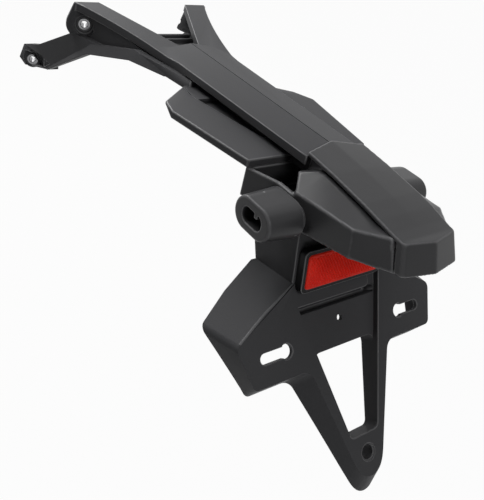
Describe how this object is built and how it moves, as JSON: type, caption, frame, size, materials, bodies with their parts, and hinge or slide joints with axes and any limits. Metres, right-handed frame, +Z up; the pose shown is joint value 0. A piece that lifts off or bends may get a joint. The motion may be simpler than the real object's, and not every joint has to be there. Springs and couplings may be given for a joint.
{
  "type": "tail tidy",
  "caption": "Motorbike number-plate carrier: forked beam with side wings, hood, indicator stubs, red reflector and a tapered plate bracket, moulded in dark plastic.",
  "frame": {"origin": "on the plate face, midway between the two plate slots", "axes": "+X to the bike's right, +Y forward, +Z up with the beam level; the plate face leans back 38 degrees"},
  "size_m": [0.186, 0.46, 0.2079],
  "materials": {
    "body_plastic": "matte, fine grain",
    "black_plastic": "satin",
    "red_lens": "prismatic",
    "collar_metal": "bright",
    "fixing_steel": "plain"
  },
  "bodies": {
    "root": {"top_cover": "body_plastic", "lower_carrier": "body_plastic", "hood_cap": "body_plastic", "tail_body": "body_plastic", "plate_bracket": "body_plastic", "reflector_housing": "black_plastic", "reflector_lens": "red_lens", "wing_left": "body_plastic", "wing_right": "body_plastic", "indicator_stub_left": "body_plastic", "indicator_stub_right": "body_plastic", "upper_collar_left": "collar_metal", "upper_collar_right": "collar_metal", "lower_collar_left": "collar_metal", "lower_collar_right": "collar_metal", "bracket_bolt_1": "fixing_steel", "bracket_bolt_2": "fixing_steel", "bracket_bolt_3": "fixing_steel", "bracket_bolt_4": "fixing_steel", "bracket_nut_1": "fixing_steel", "bracket_nut_2": "fixing_steel", "bracket_nut_3": "fixing_steel", "bracket_nut_4": "fixing_steel"}
  },
  "joints": []
}
